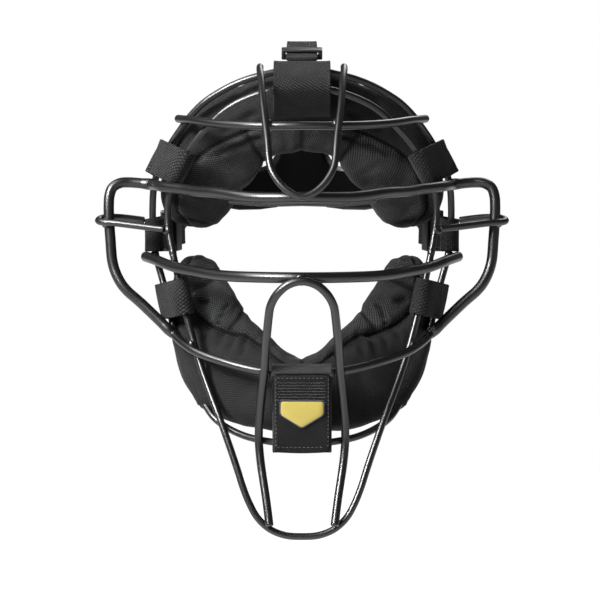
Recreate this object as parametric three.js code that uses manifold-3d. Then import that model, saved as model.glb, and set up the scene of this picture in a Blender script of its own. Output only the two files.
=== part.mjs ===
// A wire catcher's and umpire's mask: a welded wire cage, a forehead pad and a chin pad strapped
// to it with webbing tabs, and an elastic head harness with a back pad.
//
// Millimetres, +Z up. The wearer looks along -Y, so the bars are at negative Y and the harness at
// positive Y. The origin is the bridge of the wearer's nose, on the mask's plane of symmetry, X = 0.

import * as THREE from 'three';
import { mergeVertices } from 'three/addons/utils/BufferGeometryUtils.js';
import Module from 'manifold-3d';

const wasm = await Module();
wasm.setup();

// ---- driving dimensions ------------------------------------------------------------------------

const heavyWire = 3.2;      // radius of the quarter-inch bars in front of the eyes and ears
const mediumWire = 2.45;    // radius of the nose loop, the brow bar and the mouth bar
const lightWire = 2.1;      // radius of the rims, the hoops, the brow loop and the ear loops
const wireSides = 8;
const fit = 0.35;           // gap between two pieces that touch
const coverWall = 2.6;      // thickness of a pad's sewn cover
const webbing = 1.8;        // thickness of the tab webbing
const tabWidth = 22;        // width of the four side tabs
const topTabWidth = 34;
const chinFlapWidth = 33;
const elastic = 1.8;        // thickness of the harness elastic
const sideStrapWidth = 20;
const topStrapWidth = 19;
const headRadius = 92;      // the back pad curves round the back of the head at this radius
const headCentreY = 88;

const steelBlack = { color: 0x151517, roughness: 0.32, metalness: 0.55 };
const meshFabric = { color: 0x37383b, roughness: 0.95, metalness: 0 };
const foamGrey = { color: 0x8d8f92, roughness: 1, metalness: 0 };
const tabWebbing = { color: 0x5a5b5e, roughness: 0.9, metalness: 0 };
const strapBlack = { color: 0x141415, roughness: 0.85, metalness: 0 };
const plasticBlack = { color: 0x101011, roughness: 0.4, metalness: 0 };
const badgeYellow = { color: 0xd9a916, roughness: 0.7, metalness: 0 };

// ---- general helpers ---------------------------------------------------------------------------

const mask = new THREE.Group();

function add(name, geometry, look, parent = mask) {
  const mesh = new THREE.Mesh(geometry, new THREE.MeshStandardMaterial(look));
  mesh.name = name;
  parent.add(mesh);
  return mesh;
}

function toVectors(points) {
  return points.map(([x, y, z]) => new THREE.Vector3(x, y, z));
}

// Points from the plane of symmetry outwards become one run from the left side to the right side.
function mirrored(points) {
  const left = points.slice(1).reverse().map(([x, y, z]) => [-x, y, z]);
  return [...left, ...points];
}

function onSide(points, side) {
  return points.map(([x, y, z]) => [side * x, y, z]);
}

function smoothPath(points) {
  return new THREE.CatmullRomCurve3(toVectors(points), false, 'centripetal');
}

function roundSection(radius) {
  const corners = [];
  for (let i = 0; i < wireSides; i += 1) {
    const turn = ((i + 0.5) / wireSides) * 2 * Math.PI;
    corners.push(new THREE.Vector2(radius * Math.cos(turn), radius * Math.sin(turn)));
  }
  return new THREE.Shape(corners);
}

function wire(points, radius, steps) {
  const extrudePath = smoothPath(points);
  return new THREE.ExtrudeGeometry(roundSection(radius), { steps, extrudePath });
}

// A closed solid through rings of equal length, capped flat at both ends.
function loft(rings) {
  const size = rings[0].length;
  const position = rings.flat().flatMap((p) => [p.x, p.y, p.z]);
  const index = [];
  for (let r = 0; r + 1 < rings.length; r += 1) {
    for (let i = 0; i < size; i += 1) {
      const a = r * size + i;
      const b = r * size + ((i + 1) % size);
      index.push(a, b, b + size, a, b + size, a + size);
    }
  }
  const last = (rings.length - 1) * size;
  for (let i = 1; i + 1 < size; i += 1) {
    index.push(0, i + 1, i, last, last + i, last + i + 1);
  }
  const geometry = new THREE.BufferGeometry();
  geometry.setAttribute('position', new THREE.Float32BufferAttribute(position, 3));
  geometry.setIndex(index);
  return facingOut(geometry);
}

function signedVolume(geometry) {
  const p = geometry.getAttribute('position');
  const corner = (i) => new THREE.Vector3().fromBufferAttribute(p, geometry.index.getX(i));
  let volume = 0;
  for (let i = 0; i < geometry.index.count; i += 3) {
    volume += corner(i).dot(corner(i + 1).cross(corner(i + 2))) / 6;
  }
  return volume;
}

function facingOut(geometry) {
  if (signedVolume(geometry) < 0) {
    const index = Array.from(geometry.index.array);
    geometry.setIndex(index.reverse());
  }
  return geometry;
}

// ---- solid cuts --------------------------------------------------------------------------------

function toSolid(geometry) {
  const bare = geometry.clone();
  bare.deleteAttribute('normal');
  bare.deleteAttribute('uv');
  const merged = mergeVertices(bare, 1e-3);
  const vertProperties = new Float32Array(merged.getAttribute('position').array);
  const triVerts = new Uint32Array(merged.index.array);
  return new wasm.Manifold(new wasm.Mesh({ numProp: 3, vertProperties, triVerts }));
}

function toGeometry(solid) {
  const { vertProperties, triVerts } = solid.getMesh();
  const geometry = new THREE.BufferGeometry();
  geometry.setAttribute('position', new THREE.Float32BufferAttribute(vertProperties, 3));
  geometry.setIndex(Array.from(triVerts));
  return geometry;
}

function cut(solid, ...tools) {
  return tools.reduce((rest, tool) => rest.subtract(tool), solid);
}

function block(width, depth, height, x, y, z) {
  return toSolid(new THREE.BoxGeometry(width, depth, height).translate(x, y, z));
}

// ---- the cage ----------------------------------------------------------------------------------
// Each bar is one bent wire. Bars that span the mask are given from X = 0 outwards to the right.

const rearRimUpper = [
  [0, -28, 98.5], [28, -26, 94], [42.5, -22, 89], [61, -15, 78], [73.5, -8, 64], [83.5, -2, 48.5],
  [90, 4, 32.5], [91.5, 8, 9.5], [89.5, 7, -12], [83.5, 3, -33.5], [78.5, -4.5, -55],
];
const rearRimLower = [
  [0, -47, -124.5], [18.5, -46, -123.5], [36, -42.5, -119.5], [50.5, -36.5, -111.5],
  [58.5, -28, -101.5], [67, -17, -85], [72.5, -10, -70], [78.2, -5, -56],
];
const hoopUpper = [
  [0, -44, 86], [18, -43, 84.5], [42, -38, 75.5], [57.5, -32, 62.5], [69, -25.5, 49], [79.5, -18, 28],
  [81, -16.5, 8], [78, -19.5, -10],
];
const hoopLower = [
  [0, -57, -178.5], [14.5, -57, -176.5], [25, -56, -169], [32, -54.5, -157], [40, -50, -134],
  [48.5, -43.5, -110.5], [57.5, -34, -87.5], [64.5, -27.5, -66.5], [71.5, -23.5, -39.5],
  [77.6, -19.8, -12],
];
const browBar = [
  [0, -80, 61], [26.5, -73, 61.5], [50, -55, 64], [65.5, -35, 67.5], [71.5, -21, 69], [75, -12, 70],
];
const browLoop = [
  [0, -101, 19], [9, -100, 23], [17.5, -96, 34.5], [20, -88, 52.5], [21, -82.5, 60.5],
  [23, -68, 77], [24, -53, 90], [25, -41, 97], [25, -34, 99.5],
];
const upperEyeBar = [
  [0, -94, 19], [29, -84, 19.5], [49.5, -65, 23], [62, -49, 24.5], [71.5, -36.5, 26.5],
  [79, -29, 27.5], [86, -19.5, 29], [89, -8.5, 30], [90, -4.9, 30.4],
];
const eyeBarBacking = [
  [0, -88, 16.5], [24, -81, 16.5], [42, -66, 18.5],
];
const lowerEyeBar = [
  [0, -96, -27], [29, -85, -26.5], [46.5, -69, -25.5], [59.5, -54, -23.5], [76, -30.5, -20],
  [88.5, -10, -15.5], [96, 8, -13],
];
const mouthBar = [
  [0, -63, -82.5], [18, -61, -82], [35.5, -55, -79], [59.5, -40, -72], [66, -34, -69],
  [73, -23, -64.5], [78, -13, -60],
];
const noseLoop = [
  [0, -102, -29], [7, -101.6, -30.5], [16.5, -98, -39.5], [20, -86.5, -57], [22, -66.5, -81],
  [24, -57.5, -98.5], [25.5, -51, -120.5], [24.5, -52, -134], [21, -58, -157], [19, -62, -172],
];
const earGuard = [
  [94, -1, 31], [105, 0, 32], [111, -1, 31.5], [116, -2, 28], [117.5, -3, 20], [116.5, -4, -3],
  [114.5, -5, -19.5], [108.5, -7.5, -31.4], [97.5, -9, -41.6], [84, -12, -54.4],
  [81, -13, -57.4],
];
const earLoop = [
  [83, -19.3, 2.9], [102.5, -14, 5.5], [114, -10.8, 7], [120.5, -8.5, 7.5], [124, -4, 8.5],
  [121.5, 1.6, 10.5], [114, 3.6, 11], [106, 5, 10.4], [96.5, 7.1, 9.2],
];

add('rear_rim_upper', wire(mirrored(rearRimUpper), lightWire, 40), steelBlack);
add('rear_rim_lower', wire(mirrored(rearRimLower), lightWire, 30), steelBlack);
add('front_hoop_upper', wire(mirrored(hoopUpper), lightWire, 36), steelBlack);
add('front_hoop_lower', wire(mirrored(hoopLower), lightWire, 40), steelBlack);
add('brow_bar', wire(mirrored(browBar), mediumWire, 24), steelBlack);
add('brow_loop', wire(mirrored(browLoop), lightWire, 36), steelBlack);
add('upper_eye_bar', wire(mirrored(upperEyeBar), heavyWire, 26), steelBlack);
add('upper_eye_bar_backing', wire(mirrored(eyeBarBacking), lightWire, 10), steelBlack);
add('lower_eye_bar', wire(mirrored(lowerEyeBar), heavyWire, 26), steelBlack);
add('mouth_bar', wire(mirrored(mouthBar), mediumWire, 20), steelBlack);
add('nose_loop', wire(mirrored(noseLoop), mediumWire, 40), steelBlack);
for (const [side, label] of [[-1, 'left'], [1, 'right']]) {
  add(`ear_guard_${label}`, wire(onSide(earGuard, side), heavyWire, 22), steelBlack);
  add(`ear_loop_${label}`, wire(onSide(earLoop, side), lightWire, 20), steelBlack);
}

// ---- the pads ----------------------------------------------------------------------------------
// A pad is lofted through stations from X = 0 to its right end and mirrored. At each station, outer
// is the edge at the cage's rim and inner is the edge at the face opening, each with its X and Z,
// then its depth at the front and at the face.

const foreheadStations = [
  { outer: [0, 98, -23, 6], inner: [0, 51, -21, 2] },
  { outer: [27, 93.5, -21, 8], inner: [15.5, 49, -19, 4] },
  { outer: [51.5, 84, -14, 14], inner: [23, 43.5, -14, 6] },
  { outer: [71, 66, -9, 24], inner: [30.5, 33.5, -10, 12] },
  { outer: [82.5, 46.5, -4, 38], inner: [38, 26.5, -5, 20] },
  { outer: [86, 27, 1, 46], inner: [44, 17, 1, 26] },
  { outer: [83, 14.5, 5, 46], inner: [51.5, 8.5, 6, 30] },
  { outer: [76, 6.5, 9, 40], inner: [58.5, 4, 9, 32] },
];
const chinStations = [
  { outer: [0, -118, -46, -12], inner: [0, -74.5, -44, -8] },
  { outer: [18, -117, -45, -11], inner: [9.5, -72, -43, -7] },
  { outer: [37, -113.5, -41, -6], inner: [20.5, -62, -38, -2] },
  { outer: [56, -105, -34, 2], inner: [30, -53, -31, 4] },
  { outer: [71, -87, -21, 14], inner: [36.5, -44.5, -22, 9] },
  { outer: [78.5, -61, -12, 26], inner: [43, -33.5, -15, 14] },
  { outer: [80, -39.5, -7, 36], inner: [49, -24.5, -8, 20] },
  { outer: [77, -23, -1, 40], inner: [54, -16.5, -2, 26] },
  { outer: [74, -13, 4, 36], inner: [59, -11, 3, 28] },
];
const padRing = 12;
const padEndLength = 9;     // from a pad's end to its last station but one

// One rounded cross-section, pulled in by inset on every side.
function padSection({ outer, inner }, side, inset) {
  const [xo, zo, frontOuter, backOuter] = outer;
  const [xi, zi, frontInner, backInner] = inner;
  const width = Math.hypot(xo - xi, zo - zi);
  const ring = [];
  for (let i = 0; i < padRing; i += 1) {
    const turn = (i / padRing) * 2 * Math.PI;
    const across = 0.5 + 0.5 * squared(Math.cos(turn)) * (1 - (2 * inset) / width);
    const front = frontOuter + (frontInner - frontOuter) * across;
    const back = backOuter + (backInner - backOuter) * across;
    const deep = 0.5 + 0.5 * squared(Math.sin(turn)) * (1 - (2 * inset) / (back - front));
    const x = xo + (xi - xo) * across;
    const z = zo + (zi - zo) * across;
    ring.push(new THREE.Vector3(side * x, front + (back - front) * deep, z));
  }
  return ring;
}

// Pushes a circle's sine or cosine out towards a square with rounded corners.
function squared(value) {
  return Math.sign(value) * Math.abs(value) ** 0.62;
}

function padBody(stations, inset) {
  const last = stations.length - 1;
  const inside = [...stations];
  inside[last] = between(stations[last], stations[last - 1], inset / padEndLength);
  const rings = [];
  for (let i = -last; i <= last; i += 1) {
    rings.push(padSection(inside[Math.abs(i)], i < 0 ? -1 : 1, inset));
  }
  return toSolid(loft(rings));
}

function between(a, b, share) {
  const mix = (from, to) => from.map((value, i) => value + (to[i] - value) * share);
  return { outer: mix(a.outer, b.outer), inner: mix(a.inner, b.inner) };
}

function rimChannel(extra) {
  const upper = toSolid(wire(mirrored(rearRimUpper), lightWire + extra, 40));
  const lower = toSolid(wire(mirrored(rearRimLower), lightWire + extra, 30));
  return upper.add(lower);
}

function barChannel(points, radius, steps) {
  return toSolid(wire(mirrored(points), radius + fit, steps));
}

function addPad(name, stations, slit) {
  const skin = padBody(stations, 0);
  const hollow = cut(padBody(stations, coverWall), rimChannel(coverWall));
  const filling = cut(padBody(stations, coverWall + fit), rimChannel(coverWall + fit));
  const bars = [
    rimChannel(fit),
    barChannel(mouthBar, mediumWire, 20),
    barChannel(lowerEyeBar, heavyWire, 26),
    barChannel(upperEyeBar, heavyWire, 26),
  ];
  add(`${name}_cover`, toGeometry(cut(skin, hollow, slit, ...bars)), meshFabric);
  add(`${name}_foam`, toGeometry(cut(filling, ...bars)), foamGrey);
}

addPad('forehead_pad', foreheadStations, block(60, 14, 2.5, 0, 8, 74));
addPad('chin_pad', chinStations, block(50, 14, 2.5, 0, -8, -96));

// ---- the tabs that strap the pads to the cage --------------------------------------------------

// A flat strap swept along a path: across is the direction of its width.
function ribbon(points, across, width, thickness, steps) {
  const path = smoothPath(points);
  const wide = new THREE.Vector3(...across).normalize();
  const rings = [];
  for (let i = 0; i <= steps; i += 1) {
    const centre = path.getPointAt(i / steps);
    const along = path.getTangentAt(i / steps);
    const flat = wide.clone().addScaledVector(along, -wide.dot(along)).normalize();
    const out = new THREE.Vector3().crossVectors(along, flat);
    rings.push([[1, 1], [-1, 1], [-1, -1], [1, -1]].map(([w, t]) => centre.clone()
      .addScaledVector(flat, (w * width) / 2)
      .addScaledVector(out, (t * thickness) / 2)));
  }
  return loft(rings);
}

// The forehead tab runs from the pad's front face over the hoop and the rim to the pad's top.
const topTabPath = [
  [0, -25.8, 71], [0, -35, 74], [0, -44.5, 80.5], [0, -48.6, 86.5], [0, -45, 92.5], [0, -35, 99.5],
  [0, -28, 102.6], [0, -20, 101], [0, -8, 100], [0, 6, 99.6],
];
add('top_tab', ribbon(topTabPath, [1, 0, 0], topTabWidth, webbing, 20), tabWebbing);

// Each side tab runs from its stitched seam on the pad's front face out round the rim, and its
// flap lies on the pad's outer side. Paths are pairs of distance out from the seam and depth.
const sideTabs = [
  {
    level: 'upper',
    seam: [71.5, 38.5],
    lean: 28,
    widthSlope: -0.36,
    tab: [
      [-1.9, -15], [-1.5, -21], [0.2, -25.3], [2.9, -26.2], [5.8, -23.8], [12, -14.6],
      [18, -5.2], [20.6, -0.6], [20.2, 3.2],
    ],
    flap: [[20, 3.8], [17.8, 9], [16, 16], [15.8, 32]],
  },
  {
    level: 'lower',
    seam: [70.5, -37.5],
    lean: -12,
    widthSlope: 0.2,
    tab: [
      [-2.8, -17], [-2.6, -23], [-0.8, -26.9], [2, -28], [5, -25.6], [10, -15], [14.6, -5],
      [16.6, 0.8], [16, 4.2],
    ],
    flap: [[15.8, 4.8], [14.4, 9], [13.3, 16], [13, 32]],
  },
];

for (const { level, seam, lean, widthSlope, tab, flap } of sideTabs) {
  const outX = Math.cos(THREE.MathUtils.degToRad(lean));
  const outZ = Math.sin(THREE.MathUtils.degToRad(lean));
  for (const [side, label] of [[-1, 'left'], [1, 'right']]) {
    const place = ([out, y]) => [side * (seam[0] + out * outX), y, seam[1] + out * outZ];
    const across = [-side * outZ, widthSlope, outX];
    const tabShape = ribbon(tab.map(place), across, tabWidth, webbing, 16);
    const flapShape = ribbon(flap.map(place), across, tabWidth, webbing, 5);
    add(`${level}_tab_${label}`, tabShape, tabWebbing);
    add(`${level}_tab_flap_${label}`, flapShape, tabWebbing);
  }
}

// The chin tab runs from under the pad, in front of the chin rim, up behind the mouth bar and over
// it. Its free end is a flap that hangs in front of it and carries a sewn badge.
const chinTabPath = [
  [0, -36, -120.4], [0, -41, -124.5], [0, -44.5, -128.4], [0, -48.6, -128.6], [0, -51, -124.5],
  [0, -51.8, -115], [0, -53.6, -100], [0, -55.4, -88], [0, -56.6, -82], [0, -59.2, -78.4],
  [0, -63.4, -78.2], [0, -66.4, -80.2], [0, -67.2, -82.8],
];
add('chin_tab', ribbon(chinTabPath, [1, 0, 0], chinFlapWidth + 2, webbing, 24), tabWebbing);

const flapThickness = 2.2;
const flapTop = new THREE.Vector3(0, -67.1, -83.4);
const flapEnd = new THREE.Vector3(0, -54.6, -129.2);
const flapAlong = flapEnd.clone().sub(flapTop).normalize();
const flapOut = new THREE.Vector3(0, flapAlong.z, -flapAlong.y);
const flapMiddle = flapTop.clone().lerp(flapEnd, 0.5);
const flapLength = flapTop.distanceTo(flapEnd);

// A shape drawn on the flap's face, X across and Y down the flap, raised from lift to lift + thick.
function onFlap(shape, thick, lift) {
  const geometry = new THREE.ExtrudeGeometry(shape, { depth: thick, bevelEnabled: false });
  const across = new THREE.Vector3().crossVectors(flapAlong, flapOut);
  const turn = new THREE.Matrix4().makeBasis(across, flapAlong, flapOut);
  const start = flapMiddle.clone().addScaledVector(flapOut, lift);
  return geometry.applyMatrix4(turn).translate(start.x, start.y, start.z);
}

function rectangle(width, height) {
  const x = width / 2;
  const y = height / 2;
  return new THREE.Shape([[-x, -y], [x, -y], [x, y], [-x, y]].map((p) => new THREE.Vector2(...p)));
}

// A home plate: a square top edge and a point towards the flap's free end.
function homePlate(width, height) {
  const x = width / 2;
  const y = height / 2;
  const corners = [[-x, -y], [x, -y], [x, 0], [0, y], [-x, 0]];
  return new THREE.Shape(corners.map((p) => new THREE.Vector2(...p)));
}

const flapShape = rectangle(chinFlapWidth, flapLength);
add('chin_flap', onFlap(flapShape, flapThickness, -flapThickness / 2), tabWebbing);
add('chin_flap_badge', onFlap(homePlate(25, 16), 1, flapThickness / 2 + fit), badgeYellow);

// ---- the harness -------------------------------------------------------------------------------

const topStrapPath = [
  [0, -24, 105], [0, -8, 107], [0, 8, 111.1], [0, 30, 116.6], [0, 45, 120.4], [0, 70, 124.6],
  [0, 95, 125], [0, 130, 117], [0, 156, 102], [0, 175, 87], [0, 182, 79.4],
];
add('top_strap', ribbon(topStrapPath, [1, 0, 0], topStrapWidth, elastic, 28), strapBlack);

// Each side strap loops forward round the rim and doubles back inside itself to its free tail.
const sideStrapPath = [
  [62.4, 156.6, 33], [70.5, 143, 28], [77.5, 121, 18], [80, 100, 10.5], [80.5, 84, 6.5],
  [84.2, 66, 4.9], [90.9, 34, 2.1], [95, 14, 0.4], [95.4, 7, 0], [90.6, 2, 0], [85.8, 6.5, 0],
  [87.2, 20, 0.9], [86.5, 34, 2.1], [79.8, 66, 4.9], [76.1, 84, 6.5],
];
const sliderRuns = {
  top: { from: [0, -8, 107], to: [0, 45, 120.4], at: 0.36, across: [1, 0, 0] },
  side: { from: [92.8, 14, 0.4], to: [78.3, 84, 6.5], at: 0.68, across: [0, 0, 1] },
};

// A flat adjuster: a rounded plate threaded on the strap, which runs through its window.
function slider({ from, to, at, across }, side, width, window) {
  const start = new THREE.Vector3(side * from[0], from[1], from[2]);
  const end = new THREE.Vector3(side * to[0], to[1], to[2]);
  const along = end.clone().sub(start).normalize();
  const wide = new THREE.Vector3(...across);
  wide.addScaledVector(along, -wide.dot(along)).normalize();
  const out = new THREE.Vector3().crossVectors(along, wide);
  const plate = rectangle(width + 6, window + 3.2);
  plate.holes.push(rectangle(width + 1, window));
  const length = 13;
  const geometry = new THREE.ExtrudeGeometry(plate, { depth: length, bevelEnabled: false });
  const centre = start.clone().lerp(end, at).addScaledVector(along, -length / 2);
  return geometry
    .applyMatrix4(new THREE.Matrix4().makeBasis(wide, out, along))
    .translate(centre.x, centre.y, centre.z);
}

for (const [side, label] of [[-1, 'left'], [1, 'right']]) {
  const strap = ribbon(onSide(sideStrapPath, side), [0, 0, 1], sideStrapWidth, elastic, 44);
  add(`side_strap_${label}`, strap, strapBlack);
  add(`side_slider_${label}`, slider(sliderRuns.side, side, sideStrapWidth, 7.4), plasticBlack);
}
add('top_slider', slider(sliderRuns.top, 1, topStrapWidth, 2.8), plasticBlack);

// A panel bent round the back of the head: a band that rises to a tongue at its middle.
function backPanel(radius, thickness, shrink) {
  const halfBand = 59 - shrink;
  const halfTongue = 17.5 - shrink;
  const stations = [
    [halfBand, 24, 43], [42, 21.5, 48], [28, 22, 50.5], [halfTongue + 4, 23, 53],
    [halfTongue, 23.5, 60], [halfTongue - 1.5, 24, 78],
  ];
  const rings = [];
  for (const [x, low, high] of [...stations.map(([a, b, c]) => [-a, b, c]), [0, 24.5, 78],
    ...stations.reverse()]) {
    const swing = Math.asin(x / radius);
    const at = (r, z) => new THREE.Vector3(
      r * Math.sin(swing), headCentreY + r * Math.cos(swing), z);
    rings.push([
      at(radius, low + shrink), at(radius + thickness, low + shrink),
      at(radius + thickness, high - shrink), at(radius, high - shrink),
    ]);
  }
  return loft(rings);
}

add('back_plate', backPanel(headRadius, 3, 0), plasticBlack);
add('back_liner', backPanel(headRadius - 5.4, 5, 3), strapBlack);

export default mask;
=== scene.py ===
"""The looks of a wire catcher's mask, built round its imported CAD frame. Metres, +Z up, the bars at
negative Y. Wires, tabs and straps are swept again along the centrelines of their CAD nodes."""

import math

import bmesh
import bpy
import numpy as np
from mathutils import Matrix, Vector, noise
from mathutils.bvhtree import BVHTree
from mathutils.kdtree import KDTree


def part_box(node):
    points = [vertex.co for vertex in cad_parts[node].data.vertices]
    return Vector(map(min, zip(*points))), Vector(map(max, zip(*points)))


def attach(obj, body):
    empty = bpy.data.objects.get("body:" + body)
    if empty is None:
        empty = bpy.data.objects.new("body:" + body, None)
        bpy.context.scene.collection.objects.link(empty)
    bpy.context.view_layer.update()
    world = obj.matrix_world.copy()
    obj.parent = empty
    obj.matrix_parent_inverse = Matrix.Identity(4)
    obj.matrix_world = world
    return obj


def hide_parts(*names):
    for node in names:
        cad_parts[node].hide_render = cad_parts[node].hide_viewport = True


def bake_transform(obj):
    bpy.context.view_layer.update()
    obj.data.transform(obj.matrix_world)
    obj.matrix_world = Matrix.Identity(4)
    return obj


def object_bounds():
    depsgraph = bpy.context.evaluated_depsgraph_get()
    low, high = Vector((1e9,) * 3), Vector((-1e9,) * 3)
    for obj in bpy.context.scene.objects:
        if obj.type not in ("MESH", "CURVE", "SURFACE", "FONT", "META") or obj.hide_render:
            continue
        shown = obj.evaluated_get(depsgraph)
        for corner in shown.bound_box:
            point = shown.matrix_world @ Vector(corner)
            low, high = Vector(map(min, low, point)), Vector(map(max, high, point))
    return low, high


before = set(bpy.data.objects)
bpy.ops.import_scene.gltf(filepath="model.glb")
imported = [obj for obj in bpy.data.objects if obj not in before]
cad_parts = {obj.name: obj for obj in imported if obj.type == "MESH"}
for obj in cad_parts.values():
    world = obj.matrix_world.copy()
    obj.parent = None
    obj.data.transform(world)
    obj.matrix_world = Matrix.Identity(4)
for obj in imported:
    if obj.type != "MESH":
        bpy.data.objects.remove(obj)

MM = 0.001
CAD_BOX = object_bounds()
SIDES = (("left", -1), ("right", 1))

# ---- camera ------------------------------------------------------------------------------------

CAMERA_DISTANCE = 1.5
CAMERA_SIDE = -0.0012
CAMERA_HEIGHT = -0.0397
FRAME_WIDTH = 0.366         # what the frame's width covers at the rim's depth
SENSOR = 36.0


def add_camera():
    data = bpy.data.cameras.new("camera")
    data.sensor_width = SENSOR
    data.lens = SENSOR * CAMERA_DISTANCE / FRAME_WIDTH
    data.clip_end = 50
    camera = bpy.data.objects.new("camera", data)
    camera.location = (CAMERA_SIDE, -CAMERA_DISTANCE, CAMERA_HEIGHT)
    camera.rotation_euler = (math.pi / 2, 0, 0)
    bpy.context.scene.collection.objects.link(camera)
    bpy.context.scene.camera = camera


# ---- meshes ------------------------------------------------------------------------------------

def new_piece(name, vertices, faces, material):
    mesh = bpy.data.meshes.new(name)
    mesh.from_pydata([tuple(map(float, v)) for v in vertices], [], faces)
    mesh.validate()
    mesh.polygons.foreach_set("use_smooth", [True] * len(mesh.polygons))
    mesh.materials.append(material)
    piece = bpy.data.objects.new(name, mesh)
    bpy.context.scene.collection.objects.link(piece)
    return piece


def belong(piece, body, slot, *nodes):
    """Says which body a piece rides on and hides the nodes that it replaces.
    The slot argument is not used.
    """
    if nodes:
        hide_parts(*nodes)
    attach(piece, body)


def set_uv(piece, uv_of_vertex):
    """UVs from one (u, v) in metres per vertex, for pieces whose seam doesn't matter."""
    layer = piece.data.uv_layers.new(name="UVMap")
    loops = np.empty(len(piece.data.loops), np.int32)
    piece.data.loops.foreach_get("vertex_index", loops)
    layer.data.foreach_set("uv", np.asarray(uv_of_vertex, float)[loops].ravel())


def recalc_normals(piece):
    bm = bmesh.new()
    bm.from_mesh(piece.data)
    bmesh.ops.recalc_face_normals(bm, faces=bm.faces)
    bm.to_mesh(piece.data)
    bm.free()


def unit(vector):
    vector = np.asarray(vector, float)
    return vector / max(np.linalg.norm(vector), 1e-12)


def read_rings(node, corners):
    """The rings of vertices of a swept CAD node, in order from one end to the other."""
    bm = bmesh.new()
    bm.from_mesh(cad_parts[node].data)
    bmesh.ops.remove_doubles(bm, verts=bm.verts, dist=1e-5)
    bm.verts.index_update()
    plain = bm.copy()
    bmesh.ops.dissolve_limit(plain, angle_limit=0.02, verts=plain.verts, edges=plain.edges)
    caps = [f for f in plain.faces if len(f.verts) == corners
            and all(e.is_manifold and e.calc_face_angle() > 0.9 for e in f.edges)]
    cap = min(caps, key=lambda f: f.calc_area())
    corner_points = [v.co.copy() for v in cap.verts]
    layer = {min(bm.verts, key=lambda v: (v.co - p).length_squared) for p in corner_points}
    seen, rings = set(layer), []
    while layer:
        rings.append(np.array([v.co for v in sorted(layer, key=lambda v: v.index)]))
        layer = {w for v in layer for e in v.link_edges for w in e.verts} - seen
        seen |= layer
    plain.free()
    bm.free()
    return rings


def through(a, b, c, d, f):
    """The place a share f of the way from b to c, on a smooth curve through a, b, c and d."""
    return 0.5 * (2 * b + (c - a) * f + (2 * a - 5 * b + 4 * c - d) * f * f
                  + (3 * b - a - 3 * c + d) * f ** 3)


def resample(points, step):
    """Points every step along the smooth curve through points."""
    p = np.asarray(points, float)
    ends = np.vstack([2 * p[0] - p[1], p, 2 * p[-1] - p[-2]])
    dense = []
    for i in range(len(p) - 1):
        for share in np.linspace(0, 1, 12, endpoint=False):
            dense.append(through(*ends[i:i + 4], share))
    dense = np.array(dense + [p[-1]])
    run = run_along(dense)
    count = max(2, round(run[-1] / step) + 1)
    wanted = np.linspace(0, run[-1], count)
    return np.stack([np.interp(wanted, run, dense[:, k]) for k in range(3)], axis=1)


def run_along(points):
    """How far along a line of points each of them is."""
    return np.concatenate([[0], np.cumsum(np.linalg.norm(np.diff(points, axis=0), axis=1))])


def tangents(points):
    forward = np.gradient(points, axis=0)
    return forward / np.linalg.norm(forward, axis=1, keepdims=True)


def carried_normals(points, first=None):
    """A normal at each point that turns as little as it can along the curve."""
    along = tangents(points)
    if first is None:
        first = np.cross(along[0], [0.3, 0.5, 0.8])
    normal = unit(first - along[0] * np.dot(first, along[0]))
    normals = [normal]
    for t in along[1:]:
        normal = unit(normal - t * np.dot(normal, t))
        normals.append(normal)
    return along, np.array(normals)


def circle(centre, first, second, sides):
    """Points round centre, on the circle or ellipse with these two half axes."""
    turns = [2 * math.pi * s / sides for s in range(sides)]
    return [centre + math.cos(turn) * first + math.sin(turn) * second for turn in turns]


def tube(name, points, radius, material, sides=20, scale_of=None):
    """A round bar along points with slightly rounded ends."""
    along, normals = carried_normals(points)
    run = run_along(points)
    rounding = 0.35 * radius
    rings, places = [], []
    for k, share in ((3, 0.0), (2, 0.3), (1, 0.7), (0, 1.0)):
        pull = rounding * (1 - math.sqrt(max(0.0, 1 - (k / 3) ** 2)))
        places.append((0, rounding * share, radius - pull))
    middle = [(i, 0.0, radius) for i in range(1, len(points) - 1)]
    tail = [(len(points) - 1, -r_off, r) for _, r_off, r in reversed(places)]
    uvs = []
    for i, shift, r in places + middle + tail:
        centre = points[i] + along[i] * shift
        side = np.cross(along[i], normals[i])
        wide, thin = (1.0, 1.0) if scale_of is None else scale_of(run[i], run[-1])
        rings += circle(centre, r * wide * normals[i], r * thin * side, sides)
        uvs += [(s / sides, run[i]) for s in range(sides)]
    return close_sweep(name, np.array(rings), sides, uvs, material)


def sweep_faces(start, count, sides):
    """The faces that join count rings of vertices, from index start on, and close both ends."""
    faces = []
    for r in range(count - 1):
        for s in range(sides):
            a = start + r * sides + s
            b = start + r * sides + (s + 1) % sides
            faces.append((a, b, b + sides, a + sides))
    last = start + (count - 1) * sides
    faces.append(tuple(range(start, start + sides))[::-1])
    faces.append(tuple(range(last, last + sides)))
    return faces


def close_sweep(name, vertices, sides, uvs, material):
    """Joins rings of vertices into one closed sweep."""
    faces = sweep_faces(0, len(vertices) // sides, sides)
    piece = new_piece(name, vertices, faces, material)
    set_uv(piece, uvs)
    recalc_normals(piece)
    return piece


# ---- materials ---------------------------------------------------------------------------------

def material(name, color, roughness, **sockets):
    """A Principled material and its node tree. Uniform values go straight on the sockets."""
    made = bpy.data.materials.new(name)
    made.use_nodes = True
    shader = made.node_tree.nodes["Principled BSDF"]
    shader.inputs["Base Color"].default_value = (*color, 1)
    shader.inputs["Roughness"].default_value = roughness
    for socket, value in sockets.items():
        shader.inputs[socket.replace("_", " ")].default_value = value
    return made, made.node_tree.nodes, made.node_tree.links, shader


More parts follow.
